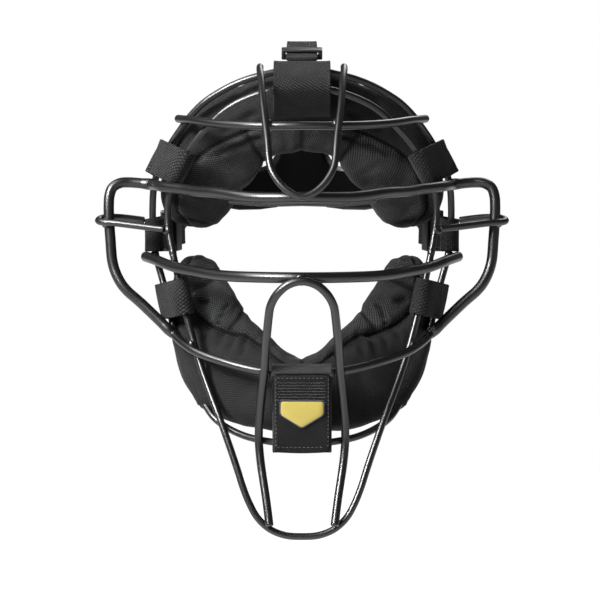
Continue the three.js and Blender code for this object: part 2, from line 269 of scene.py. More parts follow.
def noise_value(nodes, links, scale, detail=3.0):
    place = nodes.new("ShaderNodeTexCoord")
    texture = nodes.new("ShaderNodeTexNoise")
    texture.inputs["Scale"].default_value = scale
    texture.inputs["Detail"].default_value = detail
    links.new(place.outputs["Object"], texture.inputs["Vector"])
    return texture.outputs["Fac"]


def bands(nodes, links, period, degrees):
    """Soft stripes across the UV map, period metres apart and turned by degrees."""
    place = nodes.new("ShaderNodeTexCoord")
    turn = nodes.new("ShaderNodeMapping")
    turn.inputs["Rotation"].default_value = (0, 0, math.radians(degrees))
    links.new(place.outputs["UV"], turn.inputs["Vector"])
    wave = nodes.new("ShaderNodeTexWave")
    wave.inputs["Scale"].default_value = math.pi / 10 / period
    wave.inputs["Distortion"].default_value = 0
    links.new(turn.outputs["Vector"], wave.inputs["Vector"])
    return wave.outputs["Fac"]


def combine(nodes, links, operation, a, b):
    made = nodes.new("ShaderNodeMath")
    made.operation = operation
    for socket, value in zip(made.inputs, (a, b)):
        if isinstance(value, (int, float)):
            socket.default_value = value
        else:
            links.new(value, socket)
    return made.outputs[0]


def mapped(nodes, links, value, low, high):
    ramp = nodes.new("ShaderNodeMapRange")
    ramp.inputs["To Min"].default_value = low
    ramp.inputs["To Max"].default_value = high
    links.new(value, ramp.inputs["Value"])
    return ramp.outputs["Result"]


def bump(nodes, links, height, shader, distance, strength=1.0):
    made = nodes.new("ShaderNodeBump")
    made.inputs["Distance"].default_value = distance
    made.inputs["Strength"].default_value = strength
    links.new(height, made.inputs["Height"])
    links.new(made.outputs["Normal"], shader.inputs["Normal"])


def mixed_color(nodes, links, factor, dark, light, shader):
    mix = nodes.new("ShaderNodeMix")
    mix.data_type = "RGBA"
    mix.clamp_factor = False
    colors = [socket for socket in mix.inputs if socket.type == "RGBA"]
    colors[0].default_value = (*dark, 1)
    colors[1].default_value = (*light, 1)
    links.new(factor, mix.inputs["Factor"])
    result = [socket for socket in mix.outputs if socket.type == "RGBA"][0]
    links.new(result, shader.inputs["Base Color"])


def powder_coat():
    made, nodes, links, shader = material("powder_coat", (0.002, 0.002, 0.002), 0.33,
                                          Specular_IOR_Level=0.6)
    patches = noise_value(nodes, links, 22, 1)
    links.new(mapped(nodes, links, patches, 0.31, 0.35), shader.inputs["Roughness"])
    mixed_color(nodes, links, patches, (0.0015, 0.0015, 0.0016), (0.003, 0.003, 0.0032), shader)
    peel = noise_value(nodes, links, 900, 2)
    bump(nodes, links, peel, shader, 0.00001, 0.5)
    return made


def woven(name, dark, light, period, slants, depth, roughness=0.9, seams=False, sheen=0.03,
          shine=0.15):
    """Cloth of two crossing sets of threads, with slow random changes of tone across it. With seams,
    painted shade darkens it where the mesh's seam_shade attribute marks seam creases and folds."""
    made, nodes, links, shader = material(name, light, roughness, Sheen_Weight=sheen,
                                          Sheen_Roughness=0.4, Specular_IOR_Level=shine)
    ribs = bands(nodes, links, period, slants[0])
    threads = bands(nodes, links, period * 0.95, slants[1])
    weave = combine(nodes, links, "MULTIPLY", ribs, mapped(nodes, links, threads, 0.2, 1.0))
    shade = mapped(nodes, links, noise_value(nodes, links, 45, 4), -0.35, 0.35)
    fuzz = mapped(nodes, links, noise_value(nodes, links, 1800, 2), -0.3, 0.3)
    tone = combine(nodes, links, "ADD", weave, combine(nodes, links, "ADD", shade, fuzz))
    tone = combine(nodes, links, "MINIMUM", tone, 1.4)
    if seams:
        # painted shade: the seam_shade attribute darkens the cloth in seam creases and fold valleys
        sewn = nodes.new("ShaderNodeAttribute")
        sewn.attribute_name = "seam_shade"
        tone = combine(nodes, links, "SUBTRACT", tone,
                       combine(nodes, links, "MULTIPLY", sewn.outputs["Fac"], 1.1))
    mixed_color(nodes, links, tone, dark, light, shader)
    height = combine(nodes, links, "ADD", weave, combine(nodes, links, "MULTIPLY", fuzz, 0.6))
    bump(nodes, links, height, shader, depth)
    return made


def moulded_plastic():
    made, nodes, links, shader = material("moulded_plastic", (0.004, 0.004, 0.0045), 0.38,
                                          Specular_IOR_Level=0.3)
    grain = noise_value(nodes, links, 2600, 2)
    links.new(mapped(nodes, links, noise_value(nodes, links, 70, 3), 0.3, 0.5),
              shader.inputs["Roughness"])
    mixed_color(nodes, links, grain, (0.003, 0.003, 0.0035), (0.006, 0.006, 0.0065), shader)
    bump(nodes, links, grain, shader, 0.00006, 0.5)
    return made


def satin_thread():
    """Embroidery: fine parallel threads with a soft shine."""
    made, nodes, links, shader = material("satin_thread", (0.62, 0.50, 0.06), 0.5,
                                          Sheen_Weight=0.2)
    threads = bands(nodes, links, 0.00045, 90)
    mixed_color(nodes, links, threads, (0.30, 0.225, 0.022), (0.46, 0.375, 0.06), shader)
    bump(nodes, links, threads, shader, 0.00018)
    return made


def twisted_thread(name, dark, light):
    made, nodes, links, shader = material(name, light, 0.75, Sheen_Weight=0.2)
    twist = noise_value(nodes, links, 2500, 1)
    mixed_color(nodes, links, twist, dark, light, shader)
    bump(nodes, links, twist, shader, 0.0001)
    return made


# ---- the cage ----------------------------------------------------------------------------------

WIRES = ["rear_rim_upper", "rear_rim_lower", "front_hoop_upper", "front_hoop_lower", "brow_bar",
         "brow_loop", "upper_eye_bar", "upper_eye_bar_backing", "lower_eye_bar", "mouth_bar",
         "nose_loop", "ear_guard_left", "ear_guard_right", "ear_loop_left", "ear_loop_right"]
WIRE_CORNERS = 8
WIRE_STEP = 1.6 * MM
WELD_SPACING = 14 * MM      # one bead for each stretch of this length where two wires touch
WELD_REACH = 1.16           # welded when this many times their contact distance apart, or less
JOINED_ENDS = [("mouth_bar", (81, -13, -57)), ("upper_eye_bar", (92, -3, 31))]
JOIN_BULGE = 0.4 * MM
JOIN_CLEAR = 9.5 * MM       # no separate bead this near to a join
centrelines = {}
joins = []


def build_wires(coat):
    """Every wire of the cage as a round bar, and its centreline kept for what lies against it."""
    for node in WIRES:
        rings = read_rings(node, WIRE_CORNERS)
        centres = np.array([r.mean(axis=0) for r in rings])
        radius = float(np.mean([np.linalg.norm(r - c, axis=1).mean()
                                for r, c in zip(rings, centres)]))
        points = resample(centres, WIRE_STEP)
        centrelines[node] = (points, radius)
        piece = tube(node + "_bar", points, radius, coat)
        belong(piece, "root", "cage_steel", node)


def bar_end(node, target):
    """The end of a bar that is nearer to the target: its last point and one a little inside."""
    points = centrelines[node][0]
    if np.linalg.norm(points[0] - target) < np.linalg.norm(points[-1] - target):
        points = points[::-1]
    return points[-1], points[-4]


def build_joins(coat):
    """The ends of the ear guards run on into the ends of the two bars that they meet."""
    for label, side in SIDES:
        guard = f"ear_guard_{label}"
        for bar, corner in JOINED_ENDS:
            corner = np.array([side * corner[0], corner[1], corner[2]]) * MM
            start, before = bar_end(guard, corner)
            end, after = bar_end(bar, corner)
            thick, thin = centrelines[guard][1], centrelines[bar][1]
            leave = unit(start - before) * np.linalg.norm(end - start)
            arrive = unit(after - end) * np.linalg.norm(end - start)
            points = [before]
            for f in np.linspace(0, 1, 12):
                points.append((2 * f ** 3 - 3 * f ** 2 + 1) * start
                              + (f ** 3 - 2 * f ** 2 + f) * leave
                              + (3 * f ** 2 - 2 * f ** 3) * end + (f ** 3 - f ** 2) * arrive)
            points = np.array(points + [after])

            def bulge(place, length):
                share = place / length
                size = thick * (1 - share) + thin * share + JOIN_BULGE * math.sin(math.pi * share)
                return size / thick, size / thick

            piece = tube(f"{guard}_to_{bar}", points, thick, coat, scale_of=bulge)
            belong(piece, "root", "cage_steel")
            joins.append((points, thick))


def weld_places():
    """Where two wires touch: the point between them, their directions and the smaller radius."""
    places = []
    for i, first in enumerate(WIRES):
        for second in WIRES[i + 1:]:
            p, rp = centrelines[first]
            q, rq = centrelines[second]
            gaps = np.linalg.norm(p[:, None] - q[None], axis=2)
            near = np.argwhere(gaps < (rp + rq) * WELD_REACH)
            order = np.argsort(gaps[near[:, 0], near[:, 1]])
            kept = []
            for a, b in near[order]:
                between = (p[a] * rq + q[b] * rp) / (rp + rq)
                joined = any(np.linalg.norm(points - between, axis=1).min() < JOIN_CLEAR
                             for points, _ in joins)
                if not joined and all(np.linalg.norm(between - k) > WELD_SPACING for k in kept):
                    kept.append(between)
                    places.append((between, tangents(p)[a], tangents(q)[b], q[b] - p[a],
                                   min(rp, rq)))
    return places


def build_welds(coat):
    """A flattened bead fills the corners all round each touching pair of wires."""
    vertices, faces = [], []
    around, levels = 14, 9
    for between, t1, t2, apart, r in weld_places():
        normal = unit(apart)
        end_to_end = abs(np.dot(t1, normal)) > 0.8
        if end_to_end:
            long = unit(np.cross(normal, (0, 0.3, 1)))
            lengths = (1.12 * r, 1.12 * r, 1.9 * r)
        else:
            long = unit(t1 - normal * np.dot(t1, normal))
            lengths = (1.5 * r, 1.45 * r, 0.8 * r)
        side = np.cross(normal, long)
        start = len(vertices)
        for i in range(levels):
            tilt = math.pi * (i + 0.5) / levels
            for j in range(around):
                turn = 2 * math.pi * j / around
                direction = (math.sin(tilt) * math.cos(turn) * long * lengths[0]
                             + math.sin(tilt) * math.sin(turn) * side * lengths[1]
                             + math.cos(tilt) * normal * lengths[2])
                lump = 1 + 0.08 * noise.noise(Vector(between + direction) * 420)
                vertices.append(between + direction * lump)
        faces += sweep_faces(start, levels, around)
    piece = new_piece("weld_beads", vertices, faces, coat)
    recalc_normals(piece)
    belong(piece, "root", "cage_steel")


# ---- straps and tabs ---------------------------------------------------------------------------

STRAP_STEP = 1.5 * MM
STRAP_CELLS = 14            # cells across a strap's face
FIRST_WIDE = (0.3, 0.5, 0.8)  # a strap's width direction is the one nearer to this at its start

# Each kind of stitch by its length, its pitch and the thread's radius.
TOP_TAB_STITCH = (2.0 * MM, 3.0 * MM, 0.28 * MM)
SIDE_TAB_STITCH = (1.6 * MM, 2.4 * MM, 0.14 * MM)
CHIN_FLAP_STITCH = (1.5 * MM, 2.5 * MM, 0.2 * MM)
PAD_STITCH = (1.6 * MM, 2.5 * MM, 0.15 * MM)
HARNESS_STITCH = (1.6 * MM, 2.4 * MM, 0.16 * MM)


def read_strap(node):
    """The centre and the width direction along a strap's CAD node, its width and its thickness."""
    rings = read_rings(node, 4)
    centres = np.array([r.mean(axis=0) for r in rings])
    sizes, wides = [], []
    last = np.array(FIRST_WIDE)
    for ring, centre in zip(rings, centres):
        directions = np.linalg.svd(ring - centre)[2]
        last = directions[0] if np.dot(directions[0], last) > 0 else -directions[0]
        wides.append(last)
        sizes.append([np.ptp((ring - centre) @ directions[0]),
                      np.ptp((ring - centre) @ directions[1])])
    width, thickness = np.median(np.array(sizes), axis=0)
    return centres, np.array(wides), width, thickness


def carried_on(centres, wides, tail):
    """A strap's centres and widths with its nearer end replaced by a longer tail."""
    tail = np.array(tail, float) * MM
    if np.linalg.norm(centres[0] - tail[0]) > np.linalg.norm(centres[-1] - tail[0]):
        centres, wides = centres[::-1], wides[::-1]
    centres = np.vstack([tail[::-1], centres[1:]])
    wides = np.vstack([np.repeat(wides[:1], len(tail), axis=0), wides[1:]])
    return centres, wides


def strap(name, node, cloth, edge=1.12, crown=0.0, tail=()):
    """The node's strap swept again. edge thickens its selvages and crown bows its face."""
    centres, wides, width, thickness = read_strap(node)
    if len(tail):
        centres, wides = carried_on(centres, wides, tail)
    points = resample(centres, STRAP_STEP)
    along = tangents(points)
    spread = np.array([wides[np.argmin(np.linalg.norm(centres - p, axis=1))] for p in points])
    spread = np.array([unit(s - a * np.dot(s, a)) for s, a in zip(spread, along)])
    out = np.cross(along, spread)
    if np.sum(out * (points - points.mean(axis=0))) < 0:
        spread, out = -spread, -out
    run = run_along(points)
    half, deep = width / 2, thickness / 2
    face = [(-half + deep + (width - thickness) * i / STRAP_CELLS, deep)
            for i in range(STRAP_CELLS + 1)]
    turns = [math.radians(a) for a in (60, 30, 0, -30, -60)]
    cap = [(half - deep + deep * math.cos(a), deep * edge * math.sin(a)) for a in turns]
    section = face + cap + [(-x, -y) for x, y in face] + [(-x, -y) for x, y in cap]
    vertices, uvs = [], []
    for i, point in enumerate(points):
        for x, y in section:
            bow = crown * (1 - (x / half) ** 2)
            selvage = 1 + (edge - 1) * max(0.0, abs(x) / half - 0.8) / 0.2
            vertices.append(point + spread[i] * x + out[i] * (y * selvage + bow))
            uvs.append((x, run[i]))
    piece = close_sweep(name, np.array(vertices), len(section), uvs, cloth)
    frames = {"points": points, "wide": spread, "out": out, "width": width,
              "thickness": thickness, "run": run}
    return piece, frames


def on_strap(frames, x, distance, face=1):
    """A point on a strap's face, x across from its middle and distance along it, and its normal."""
    i = int(np.argmin(np.abs(frames["run"] - distance)))
    normal = frames["out"][i] * face
    lift = frames["thickness"] / 2
    return frames["points"][i] + frames["wide"][i] * x + normal * lift, normal


def thread_row(name, row, thread, body, slot, stitch_size):
    """A row of sewn stitches along (point, normal) pairs: short arched threads."""
    length, pitch, radius = stitch_size
    points = np.array([p for p, _ in row], float)
    normals = np.array([n for _, n in row], float)
    run = run_along(points)

    def at(distance):
        place = np.array([np.interp(distance, run, points[:, k]) for k in range(3)])
        normal = unit([np.interp(distance, run, normals[:, k]) for k in range(3)])
        return place, normal

    vertices, faces = [], []
    sides, steps = 6, 5
    for stitch in range(int((run[-1] - length) / pitch) + 1):
        begin = stitch * pitch
        ahead = unit(at(begin + length)[0] - at(begin)[0])
        start = len(vertices)
        for k in range(steps):
            share = k / (steps - 1)
            place, normal = at(begin + length * share)
            arch = math.sin(math.pi * share)
            side = np.cross(ahead, normal)
            centre = place + normal * radius * (1.1 * arch - 0.5)
            thick = radius * (0.6 + 0.4 * arch)
            vertices += circle(centre, thick * side, thick * normal, sides)
        faces += sweep_faces(start, steps, sides)
    piece = new_piece(name, vertices, faces, thread)
    recalc_normals(piece)
    belong(piece, body, slot)


def across_row(frames, distance, inset, face):
    half = frames["width"] / 2 - inset
    return [on_strap(frames, x, distance, face) for x in np.linspace(-half, half, 24)]


def build_tabs(cloths, threads):
    """The webbing tabs that tie the pads on, with the flaps of the four side tabs."""
    made = {}
    piece, made["top_tab"] = strap("top_tab_webbing", "top_tab", cloths["twill"], edge=1.3)
    belong(piece, "root", "tab_webbing", "top_tab")
    frames = made["top_tab"]
    face = -1 if frames["out"][3][1] > 0 else 1
    row = across_row(frames, 3.2 * MM, 3 * MM, face)
    thread_row("top_tab_seam", row, threads["dark"], "root", "tab_webbing", TOP_TAB_STITCH)
    for level in ("upper", "lower"):
        for label, side in SIDES:
            node = f"{level}_tab_{label}"
            piece, frames = strap(node + "_webbing", node, cloths["ribbed"], crown=0.0004)
            made[node] = frames
            belong(piece, "root", "tab_webbing", node)
            flap = f"{level}_tab_flap_{label}"
            piece, frames = strap(flap + "_webbing", flap, cloths["ribbed"])
            body = f"{level}_flap_{label}"
            belong(piece, body, "tab_webbing", flap)
            length = frames["run"][-1]
            face = 1 if frames["out"][5][0] * side > 0 else -1
            for place in (length - 2.2 * MM, length - 14 * MM):
                row = across_row(frames, place, 2 * MM, face)
                thread_row(f"{flap}_seam_{round(place / MM)}", row, threads["dark"], body,
                           "tab_webbing", SIDE_TAB_STITCH)
    piece, made["chin_tab"] = strap("chin_tab_webbing", "chin_tab", cloths["loop"], edge=1.2)
    belong(piece, "root", "tab_webbing", "chin_tab")
    return made


# ---- the chin flap -----------------------------------------------------------------------------

FLAP_CELLS = (40, 56)       # across and down
FLAP_THICKNESS = 2.2 * MM
LOOP_THREAD = 0.13 * MM
BADGE_SIZE = (25 * MM, 16 * MM)
BADGE_CORNER = 1.6 * MM
BORDER_CORD = 0.42 * MM     # its radius
BORDER_LIFT = 0.3 * MM      # its centreline above the flap's face


def flap_frame():
    """The flap's top middle, bottom middle and outward direction, from its CAD node."""
    low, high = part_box("chin_flap")
    vertices = [v.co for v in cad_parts["chin_flap"].data.vertices]
    top = [v for v in vertices if v.z > high.z - 1.5 * MM]
    bottom = [v for v in vertices if v.z < low.z + 1.5 * MM]
    start = np.mean([list(v) for v in top], axis=0)
    end = np.mean([list(v) for v in bottom], axis=0)
    start[0] = end[0] = 0
    down = unit(end - start)
    out = np.array([0, down[2], -down[1]])
    return start, end, down, out if out[1] < 0 else -out


def flap_surface(u, v, side, width, length):
    """How far right, down the flap and out from its middle plane a point of its skin lies. u runs
    from -1 to 1 across, v from 0 to 1 down, and side is 1 on the front and -1 on the back."""
    roll = max(0.0, (abs(u) - 0.93) / 0.07)
    tuck = max(0.0, (abs(2 * v - 1) - 0.955) / 0.045)
    height = FLAP_THICKNESS / 2 * math.sqrt(max(0.0, 1 - max(roll, tuck) ** 2))
    corner = 0.6 * MM * max(0.0, (abs(2 * v - 1) - 0.93) / 0.07) ** 2
    x = u * (width / 2 - corner)
    droop = 0.7 * MM * math.cos(u * 1.5) * max(0.0, v - 0.93) / 0.07
    border = 0.25 * MM if 0.955 > abs(u) > 0.86 else 0.0
    wave = 0.25 * MM * noise.noise(Vector((x * 90, v * 4, 3.0)))
    return x, length * v + droop, side * (height - border) + wave


def build_flap(cloths, threads):
    """The chin flap with its hems, its field of fastener loops and its badge."""
    start, end, down, out = flap_frame()
    low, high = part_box("chin_flap")
    width, length = high.x - low.x, float(np.linalg.norm(end - start))
    across, downs = FLAP_CELLS
    grid = {}
    vertices, uvs, faces = [], [], []
    for side in (1, -1):
        for j in range(downs + 1):
            v = j / downs
            for i in range(across + 1):
                x, distance, lift = flap_surface(2 * i / across - 1, v, side, width, length)
                place = start + down * distance + out * lift
                place[0] = x
                grid[side, i, j] = len(vertices)
                vertices.append(place)
                uvs.append((x, length * v))
        for j in range(downs):
            for i in range(across):
                faces.append((grid[side, i, j], grid[side, i + 1, j],
                              grid[side, i + 1, j + 1], grid[side, i, j + 1]))
    piece = new_piece("chin_flap_webbing", vertices, faces, cloths["flap"])
    set_uv(piece, uvs)
    bm = bmesh.new()
    bm.from_mesh(piece.data)
    bmesh.ops.remove_doubles(bm, verts=bm.verts, dist=0.02 * MM)
    bmesh.ops.recalc_face_normals(bm, faces=bm.faces)
    bm.to_mesh(piece.data)
    bm.free()
    belong(piece, "chin_flap", "tab_webbing", "chin_flap")

    def on_face(x, distance, lift=0.0):
        place = start + down * distance + out * (FLAP_THICKNESS / 2 + lift)
        place[0] = x
        return place, out

    half = width / 2
    inset = 2 * MM
    across_hem = np.linspace(-half + inset, half - inset, 30)
    down_hem = np.linspace(inset, length - inset, 40)
    rows = {
        "top": [on_face(x, 1.6 * MM) for x in across_hem],
        "bottom": [on_face(x, length - 3.4 * MM) for x in across_hem],
        "left": [on_face(-half + 1.2 * MM, d) for d in down_hem],
        "right": [on_face(half - 1.2 * MM, d) for d in down_hem],
    }
    for label, row in rows.items():
        thread_row(f"chin_flap_stitch_{label}", row, threads["grey"], "chin_flap", "tab_webbing",
                   CHIN_FLAP_STITCH)
    build_loop_field(on_face, half, threads)
    build_badge(threads)


def build_loop_field(on_face, half, threads):
    """The fastener's loop side: rows of tiny thread loops below the flap's top hem."""
    vertices, faces = [], []
    rows, columns, sides = 8, 20, 5
    right = np.array([1.0, 0, 0])
    for j in range(rows):
        for i in range(columns):
            shift = 0.5 * (j % 2)
            x = (-half + 2.6 * MM) + (i + shift) * (2 * half - 5.2 * MM) / columns
            wobble = noise.noise(Vector((i * 1.7, j * 2.3, 0.5)))
            place, normal = on_face(x, (4.4 + 1.75 * j + 0.3 * wobble) * MM)
            start = len(vertices)
            for k in range(4):
                turn = math.pi * k / 3
                centre = place + right * 0.42 * MM * math.cos(turn)
                centre = centre + normal * 0.34 * MM * math.sin(turn)
                spoke = math.cos(turn) * right + math.sin(turn) * normal
                sideways = unit(np.cross(spoke, normal if k in (0, 3) else right))
                vertices += circle(centre, LOOP_THREAD * spoke, LOOP_THREAD * sideways, sides)
            faces += sweep_faces(start, 4, sides)
    piece = new_piece("chin_flap_loops", vertices, faces, threads["grey"])
    recalc_normals(piece)
    belong(piece, "chin_flap", "tab_webbing")


def plate_outline(width, height, corner, points_per_corner=5):
    """A home plate's outline with rounded corners, its point downwards."""
    corners = [(-1, 1), (1, 1), (1, 0), (0, -1), (-1, 0)]
    corners = [np.array([x * width / 2, y * height / 2]) for x, y in corners]
    outline = []
    for k, here in enumerate(corners):
        before = corners[k - 1]
        after = corners[(k + 1) % len(corners)]
        a = here + unit(before - here) * corner
        b = here + unit(after - here) * corner
        for s in np.linspace(0, 1, points_per_corner):
            outline.append((1 - s) ** 2 * a + 2 * s * (1 - s) * here + s * s * b)
    return outline


def build_badge(threads):
    """An embroidered home plate in yellow satin stitch inside a dark border cord."""
    start, end, down, out = flap_frame()
    vertices = [np.array(v.co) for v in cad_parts["chin_flap_badge"].data.vertices]
    lifts = [np.dot(v - start, out) for v in vertices]
    base, top = min(lifts), max(lifts)
    centre = (start + end) / 2
    right = np.array([1.0, 0, 0])
    width, height = BADGE_SIZE
    layers = [(1.0, base), (1.0, base + 0.55 * (top - base)), (0.965, base + 0.8 * (top - base)),
              (0.9, top), (0.55, top + 0.12 * MM), (0.2, top + 0.16 * MM)]
    made, uvs = [], []
    for share, lift in layers:
        outline = plate_outline(width * share, height * share, BADGE_CORNER * share)
        for x, y in outline:
            made.append(centre - down * y + right * x + out * lift)
            uvs.append((x, y))
    sides = len(made) // len(layers)
    piece = close_sweep("badge_plate", np.array(made), sides, uvs, threads["satin"])
    belong(piece, "chin_flap", "badge", "chin_flap_badge")
    border = [centre - down * y + right * x + out * (base + BORDER_LIFT)
              for x, y in plate_outline(width + 0.7 * MM, height + 0.7 * MM, 2 * MM, 7)]
    ring = closed_tube("badge_border", np.array(border), BORDER_CORD, threads["navy"])
    belong(ring, "chin_flap", "badge")


def closed_tube(name, points, radius, thread, sides=8):
    """A round cord along a closed loop of points that lie near one plane."""
    count = len(points)
    normal = unit(np.cross(points[count // 3] - points[0], points[2 * count // 3] - points[0]))
    vertices, faces = [], []
    for i in range(count):
        ahead = unit(points[(i + 1) % count] - points[i - 1])
        side = np.cross(ahead, normal)
        vertices += circle(points[i], radius * side, radius * normal, sides)
    for i in range(count):
        for s in range(sides):
            a, b = i * sides + s, i * sides + (s + 1) % sides
            c, d = (i + 1) % count * sides + s, (i + 1) % count * sides + (s + 1) % sides
            faces.append((a, b, d, c))
    piece = new_piece(name, vertices, faces, thread)
    recalc_normals(piece)
    return piece


# ---- the pads ----------------------------------------------------------------------------------
# A pad follows stations from X = 0 to its right end, mirrored to the left: the edge at the rim and
# the edge at the face opening, each with X, Z and its front and back depth, in millimetres. seam
# is the share of the way from the rim edge to the opening where the main seam runs.

FOREHEAD = {
    "name": "forehead_pad",
    "stations": [
        [0, 98, -23, 6, 0, 51, -21, 2], [27, 93.5, -21, 8, 15.5, 49, -19, 4],
        [51.5, 84, -14, 14, 23, 43.5, -14, 6], [71, 66, -9, 24, 30.5, 33.5, -10, 12],
        [82.5, 46.5, -4, 38, 38, 26.5, -5, 20], [86, 27, 1, 46, 44, 17, 1, 26],
        [83, 14.5, 5, 46, 51.5, 8.5, 6, 30], [76, 6.5, 9, 40, 58.5, 4, 9, 32],
    ],
    "seam": [0.68, 0.63, 0.56, 0.40, 0.29, 0.22, 0.20, 0.25],
    "cross_seams": [0, 1.95],
    "end_seam": 6.35,
    "folds": [
        ((1.5, 0.74), (2.2, 0.68), (2.8, 0.56), (3.3, 0.47)),
        ((1.2, 0.40), (1.9, 0.44), (2.5, 0.38)),
    ],
    "rounding": 1.0,
}
CHIN = {
    "name": "chin_pad",
    "stations": [
        [0, -118, -46, -12, 0, -74.5, -44, -8], [18, -117, -45, -11, 9.5, -72, -43, -7],
        [37, -113.5, -41, -6, 20.5, -62, -38, -2], [56, -105, -34, 2, 30, -53, -31, 4],
        [71, -87, -21, 14, 36.5, -44.5, -22, 9], [78.5, -61, -12, 26, 43, -33.5, -15, 14],
        [80, -39.5, -7, 36, 49, -24.5, -8, 20], [77, -23, -1, 40, 54, -16.5, -2, 26],
        [74, -13, 4, 36, 59, -11, 3, 28],
    ],
    "seam": [0.92, 0.91, 0.89, 0.86, 0.68, 0.43, 0.27, 0.22, 0.25],
    "cross_seams": [0, 3.8, 5.95],
    "end_seam": 7.6,
    "folds": [
        ((2.95, 0.85), (2.8, 0.70)),
        ((3.5, 0.77), (3.3, 0.64), (3.25, 0.56)),
        ((3.95, 0.68), (3.8, 0.55)),
        ((4.4, 0.56), (4.3, 0.44)),
        ((4.25, 0.66), (4.5, 0.78), (4.6, 0.90)),
        ((5.1, 0.66), (5.5, 0.50)),
    ],
    "rounding": 1.3,
    "sleeve": ("rear_rim_lower", -100 * MM, -64 * MM),
}
SECTION_POWER = 0.62        # pushes a circle towards a square with rounded corners
EDGE_SEAM_DEPTH = 0.78      # share of the pad's depth where the front meets the lining
PAD_STEP = 2.3 * MM
PAD_COLUMNS = (16, 20, 14)  # cells from rim-side edge seam to main seam to opening edge seam
SEAM_SINK = 3.0 * MM
FOLD_DEPTH = 2.4 * MM
LINING_BACK = 0.5 * MM      # the flat lining lies this far inside the pad's outline
CLOTH = {
    "quality": 5, "mass": 0.2, "tension_stiffness": 18, "compression_stiffness": 12,
    "shear_stiffness": 8, "bending_stiffness": 0.6, "use_pressure": True,
    "uniform_pressure_force": 4, "shrink_min": -0.015,
}
CLOTH_STEPS = 20
PUFF_CAP = 5 * MM           # how far the simulation may move a point
SEAM_WIDTH = 2.0 * MM
EDGE_SINK, EDGE_WIDTH = 0.8 * MM, 2.2 * MM
CROSS_SINK, CROSS_WIDTH = 0.9 * MM, 1.8 * MM
SWELL, SWELL_REACH = 0.9 * MM, 9 * MM
FOLD_WIDTH = 1.6 * MM
ADJUSTER_AXIS = (0.2021, 0.97567, 0.08502)  # the left one slides so, the right one mirrored
ADJUSTER_SLIDE = (-20 * MM, 10 * MM)
ADJUSTER_CLEAR = 0.8 * MM   # how far inside the adjusters' inner faces a pad's corners stay
PRESS_SKIRT = 5 * MM        # how far beside a wire the cloth is still drawn down by it
PRESS_DEPTH = 12 * MM       # a point deeper in front of a wire than this isn't moved


def squared(value):
    return np.sign(value) * np.abs(value) ** SECTION_POWER


def unsquared(value):
    return math.copysign(abs(value) ** (1 / SECTION_POWER), value)


def mirrored_rows(rows, flipped):
    rows = np.array(rows, float)
    left = rows[:0:-1].copy()
    left[:, flipped] *= -1
    return np.vstack([left, rows])


def on_curve(rows, place):
    """The row at a fractional place, on a smooth curve through all the rows."""
    i = int(min(place, len(rows) - 2))
    last = len(rows) - 1
    return through(rows[max(i - 1, 0)], rows[i], rows[i + 1], rows[min(i + 2, last)], place - i)


def section_points(row, angles, scale):
    """Points round a pad's rounded section at one station, at these angles."""
    across = 0.5 + 0.5 * scale * squared(np.cos(angles))
    deep = 0.5 + 0.5 * scale * squared(np.sin(angles))
    front = row[2] + (row[6] - row[2]) * across
    back = row[3] + (row[7] - row[3]) * across
    return MM * np.stack([row[0] + (row[4] - row[0]) * across, front + (back - front) * deep,
                          row[1] + (row[5] - row[1]) * across], axis=-1)


def ring_stations(pad, rows, last):
    """Fractional stations from end to end, with one exactly on every cross seam."""
    seams = pad["cross_seams"] + [pad["end_seam"]]
    keys = sorted({s * side for s in seams for side in (-1, 1)} | {-last, last})
    middle = [0.5 * (on_curve(rows, t + last)[[0, 1]] + on_curve(rows, t + last)[[4, 5]])
              for t in np.linspace(-last, last, 400)]
    run = run_along(middle) * MM
    fine = np.linspace(-last, last, 400)
    stations = []
    for a, b in zip(keys, keys[1:]):
        stretch = np.interp(b, fine, run) - np.interp(a, fine, run)
        count = max(2, round(stretch / PAD_STEP))
        stations += list(np.linspace(a, b, count, endpoint=False))
    stations.append(last)
    return np.array(stations)


def pad_grid(pad):
    """Rings of surface points [ring, column], their distance from the main seam and stations."""
    rows = mirrored_rows(pad["stations"], [0, 4])
    last = len(pad["stations"]) - 1
    stations = ring_stations(pad, rows, last)
    depth_turn = math.asin(unsquared(2 * EDGE_SEAM_DEPTH - 1))
    rings, offsets = [], []
    for t in stations:
        row = on_curve(rows, t + last)
        seam = np.interp(abs(t), range(last + 1), pad["seam"])
        past = max(0.0, (abs(t) - (last - pad["rounding"])) / pad["rounding"])
        scale = (1 - min(past, 0.985) ** 2.4) ** (1 / 2.4)
        seam_turn = 2 * math.pi - math.acos(unsquared(2 * seam - 1))
        marks = [math.pi - depth_turn, seam_turn, 2 * math.pi + depth_turn,
                 3 * math.pi - depth_turn]
        ring, offset = [], []
        for (a, b), cells in zip(zip(marks, marks[1:]), PAD_COLUMNS):
            fine = section_points(row, np.linspace(a, b, 90), scale)
            arc = run_along(fine)
            wanted = np.linspace(0, arc[-1], cells, endpoint=False)
            ring += list(np.stack([np.interp(wanted, arc, fine[:, k]) for k in range(3)], axis=1))
            offset += list(wanted + (offset[-1] + step if offset else 0))
            step = arc[-1] / cells
        rings.append(ring)
        offset.append(offset[-1] + step)
        offset = np.array(offset)
        offsets.append(offset - offset[PAD_COLUMNS[0]])
    return np.array(rings), np.array(offsets), stations


def grid_normals(points):
    along = np.gradient(points, axis=0)
    round_ = np.roll(points, -1, axis=1) - np.roll(points, 1, axis=1)
    normals = np.cross(along, round_)
    normals /= np.maximum(np.linalg.norm(normals, axis=2, keepdims=True), 1e-9)
    outwards = points - points.mean(axis=1, keepdims=True)
    if np.sum(normals * outwards) < 0:
        normals = -normals
    return normals


def smooth_bell(distance, width):
    return np.exp(-(distance / width) ** 2)


